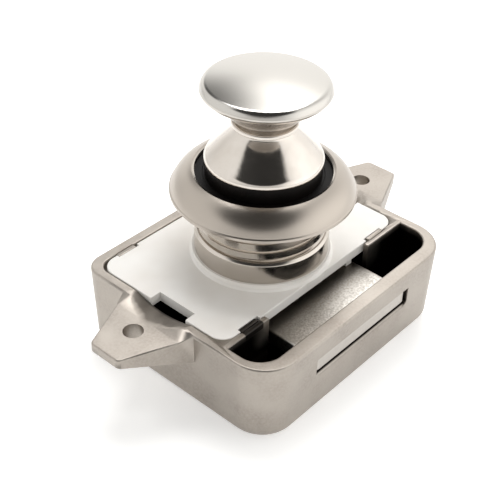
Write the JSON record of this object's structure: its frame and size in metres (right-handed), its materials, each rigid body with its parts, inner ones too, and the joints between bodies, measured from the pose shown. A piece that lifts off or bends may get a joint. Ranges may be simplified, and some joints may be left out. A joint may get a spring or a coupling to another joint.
{
  "type": "push button cabinet lock",
  "caption": "Push button lock for a cabinet or caravan door: a knob on a threaded collar drives a flat bolt out of a die-cast body with screw ears.",
  "frame": {"origin": "on the knob's axis, in the plane of the body's rim, which lies against the inside of the door", "axes": "+Z along the knob towards the hand, X through the two screw ears, and the bolt leaves the body along -Y"},
  "size_m": [0.081, 0.0468, 0.0544],
  "materials": {
    "raw_zinc": "tumbled raw die-cast zinc, dull and slightly mottled",
    "white_plastic": "warm white moulded plastic, satin",
    "black_plastic": "black moulded plastic, satin",
    "satin_nickel": "satin nickel plating",
    "polished_nickel": "polished nickel plating",
    "grained_steel": "zinc plated steel with a fine grain",
    "plain_steel": "plain bright steel"
  },
  "bodies": {
    "lock_body": {"body_casting": "raw_zinc", "cover_plate": "white_plastic", "mechanism_frame": "black_plastic", "collar_tube": "satin_nickel", "rosette": "satin_nickel", "guide_ring": "black_plastic", "return_spring": "plain_steel", "wire_leaf": "plain_steel"},
    "knob": {"knob_cap": "satin_nickel", "knob_bell": "polished_nickel", "knob_washer": "plain_steel", "knob_nut": "plain_steel", "plunger": "black_plastic", "plunger_screws": "plain_steel", "cross_pin": "plain_steel", "pin_clips": "plain_steel", "spring_cup": "plain_steel"},
    "bolt": {"latch_bolt": "grained_steel", "cam_fork": "plain_steel", "fork_rivets": "plain_steel"},
    "wire": {"latch_wire": "plain_steel"}
  },
  "joints": [
    {"name": "knob_press", "type": "slide", "parent": "lock_body", "child": "knob", "axis": [0, 0, -1], "range_m": [0, 0.015], "stiffness_N_per_m": 300, "springref_m": -0.01, "deforming": ["return_spring"]},
    {"name": "bolt_throw", "type": "slide", "parent": "lock_body", "child": "bolt", "axis": [0, -1, 0], "range_m": [0, 0.008]},
    {"name": "wire_swing", "type": "hinge", "parent": "lock_body", "child": "wire", "pos_m": [0, 0.0081, -0.012], "axis": [0, 1, 0], "range_deg": [-4, 4], "stiffness_Nm_per_rad": 0.0005}
  ],
  "couplings": [
    {"joint": "bolt_throw", "follows": "knob_press", "ratio": 0.53333}
  ]
}
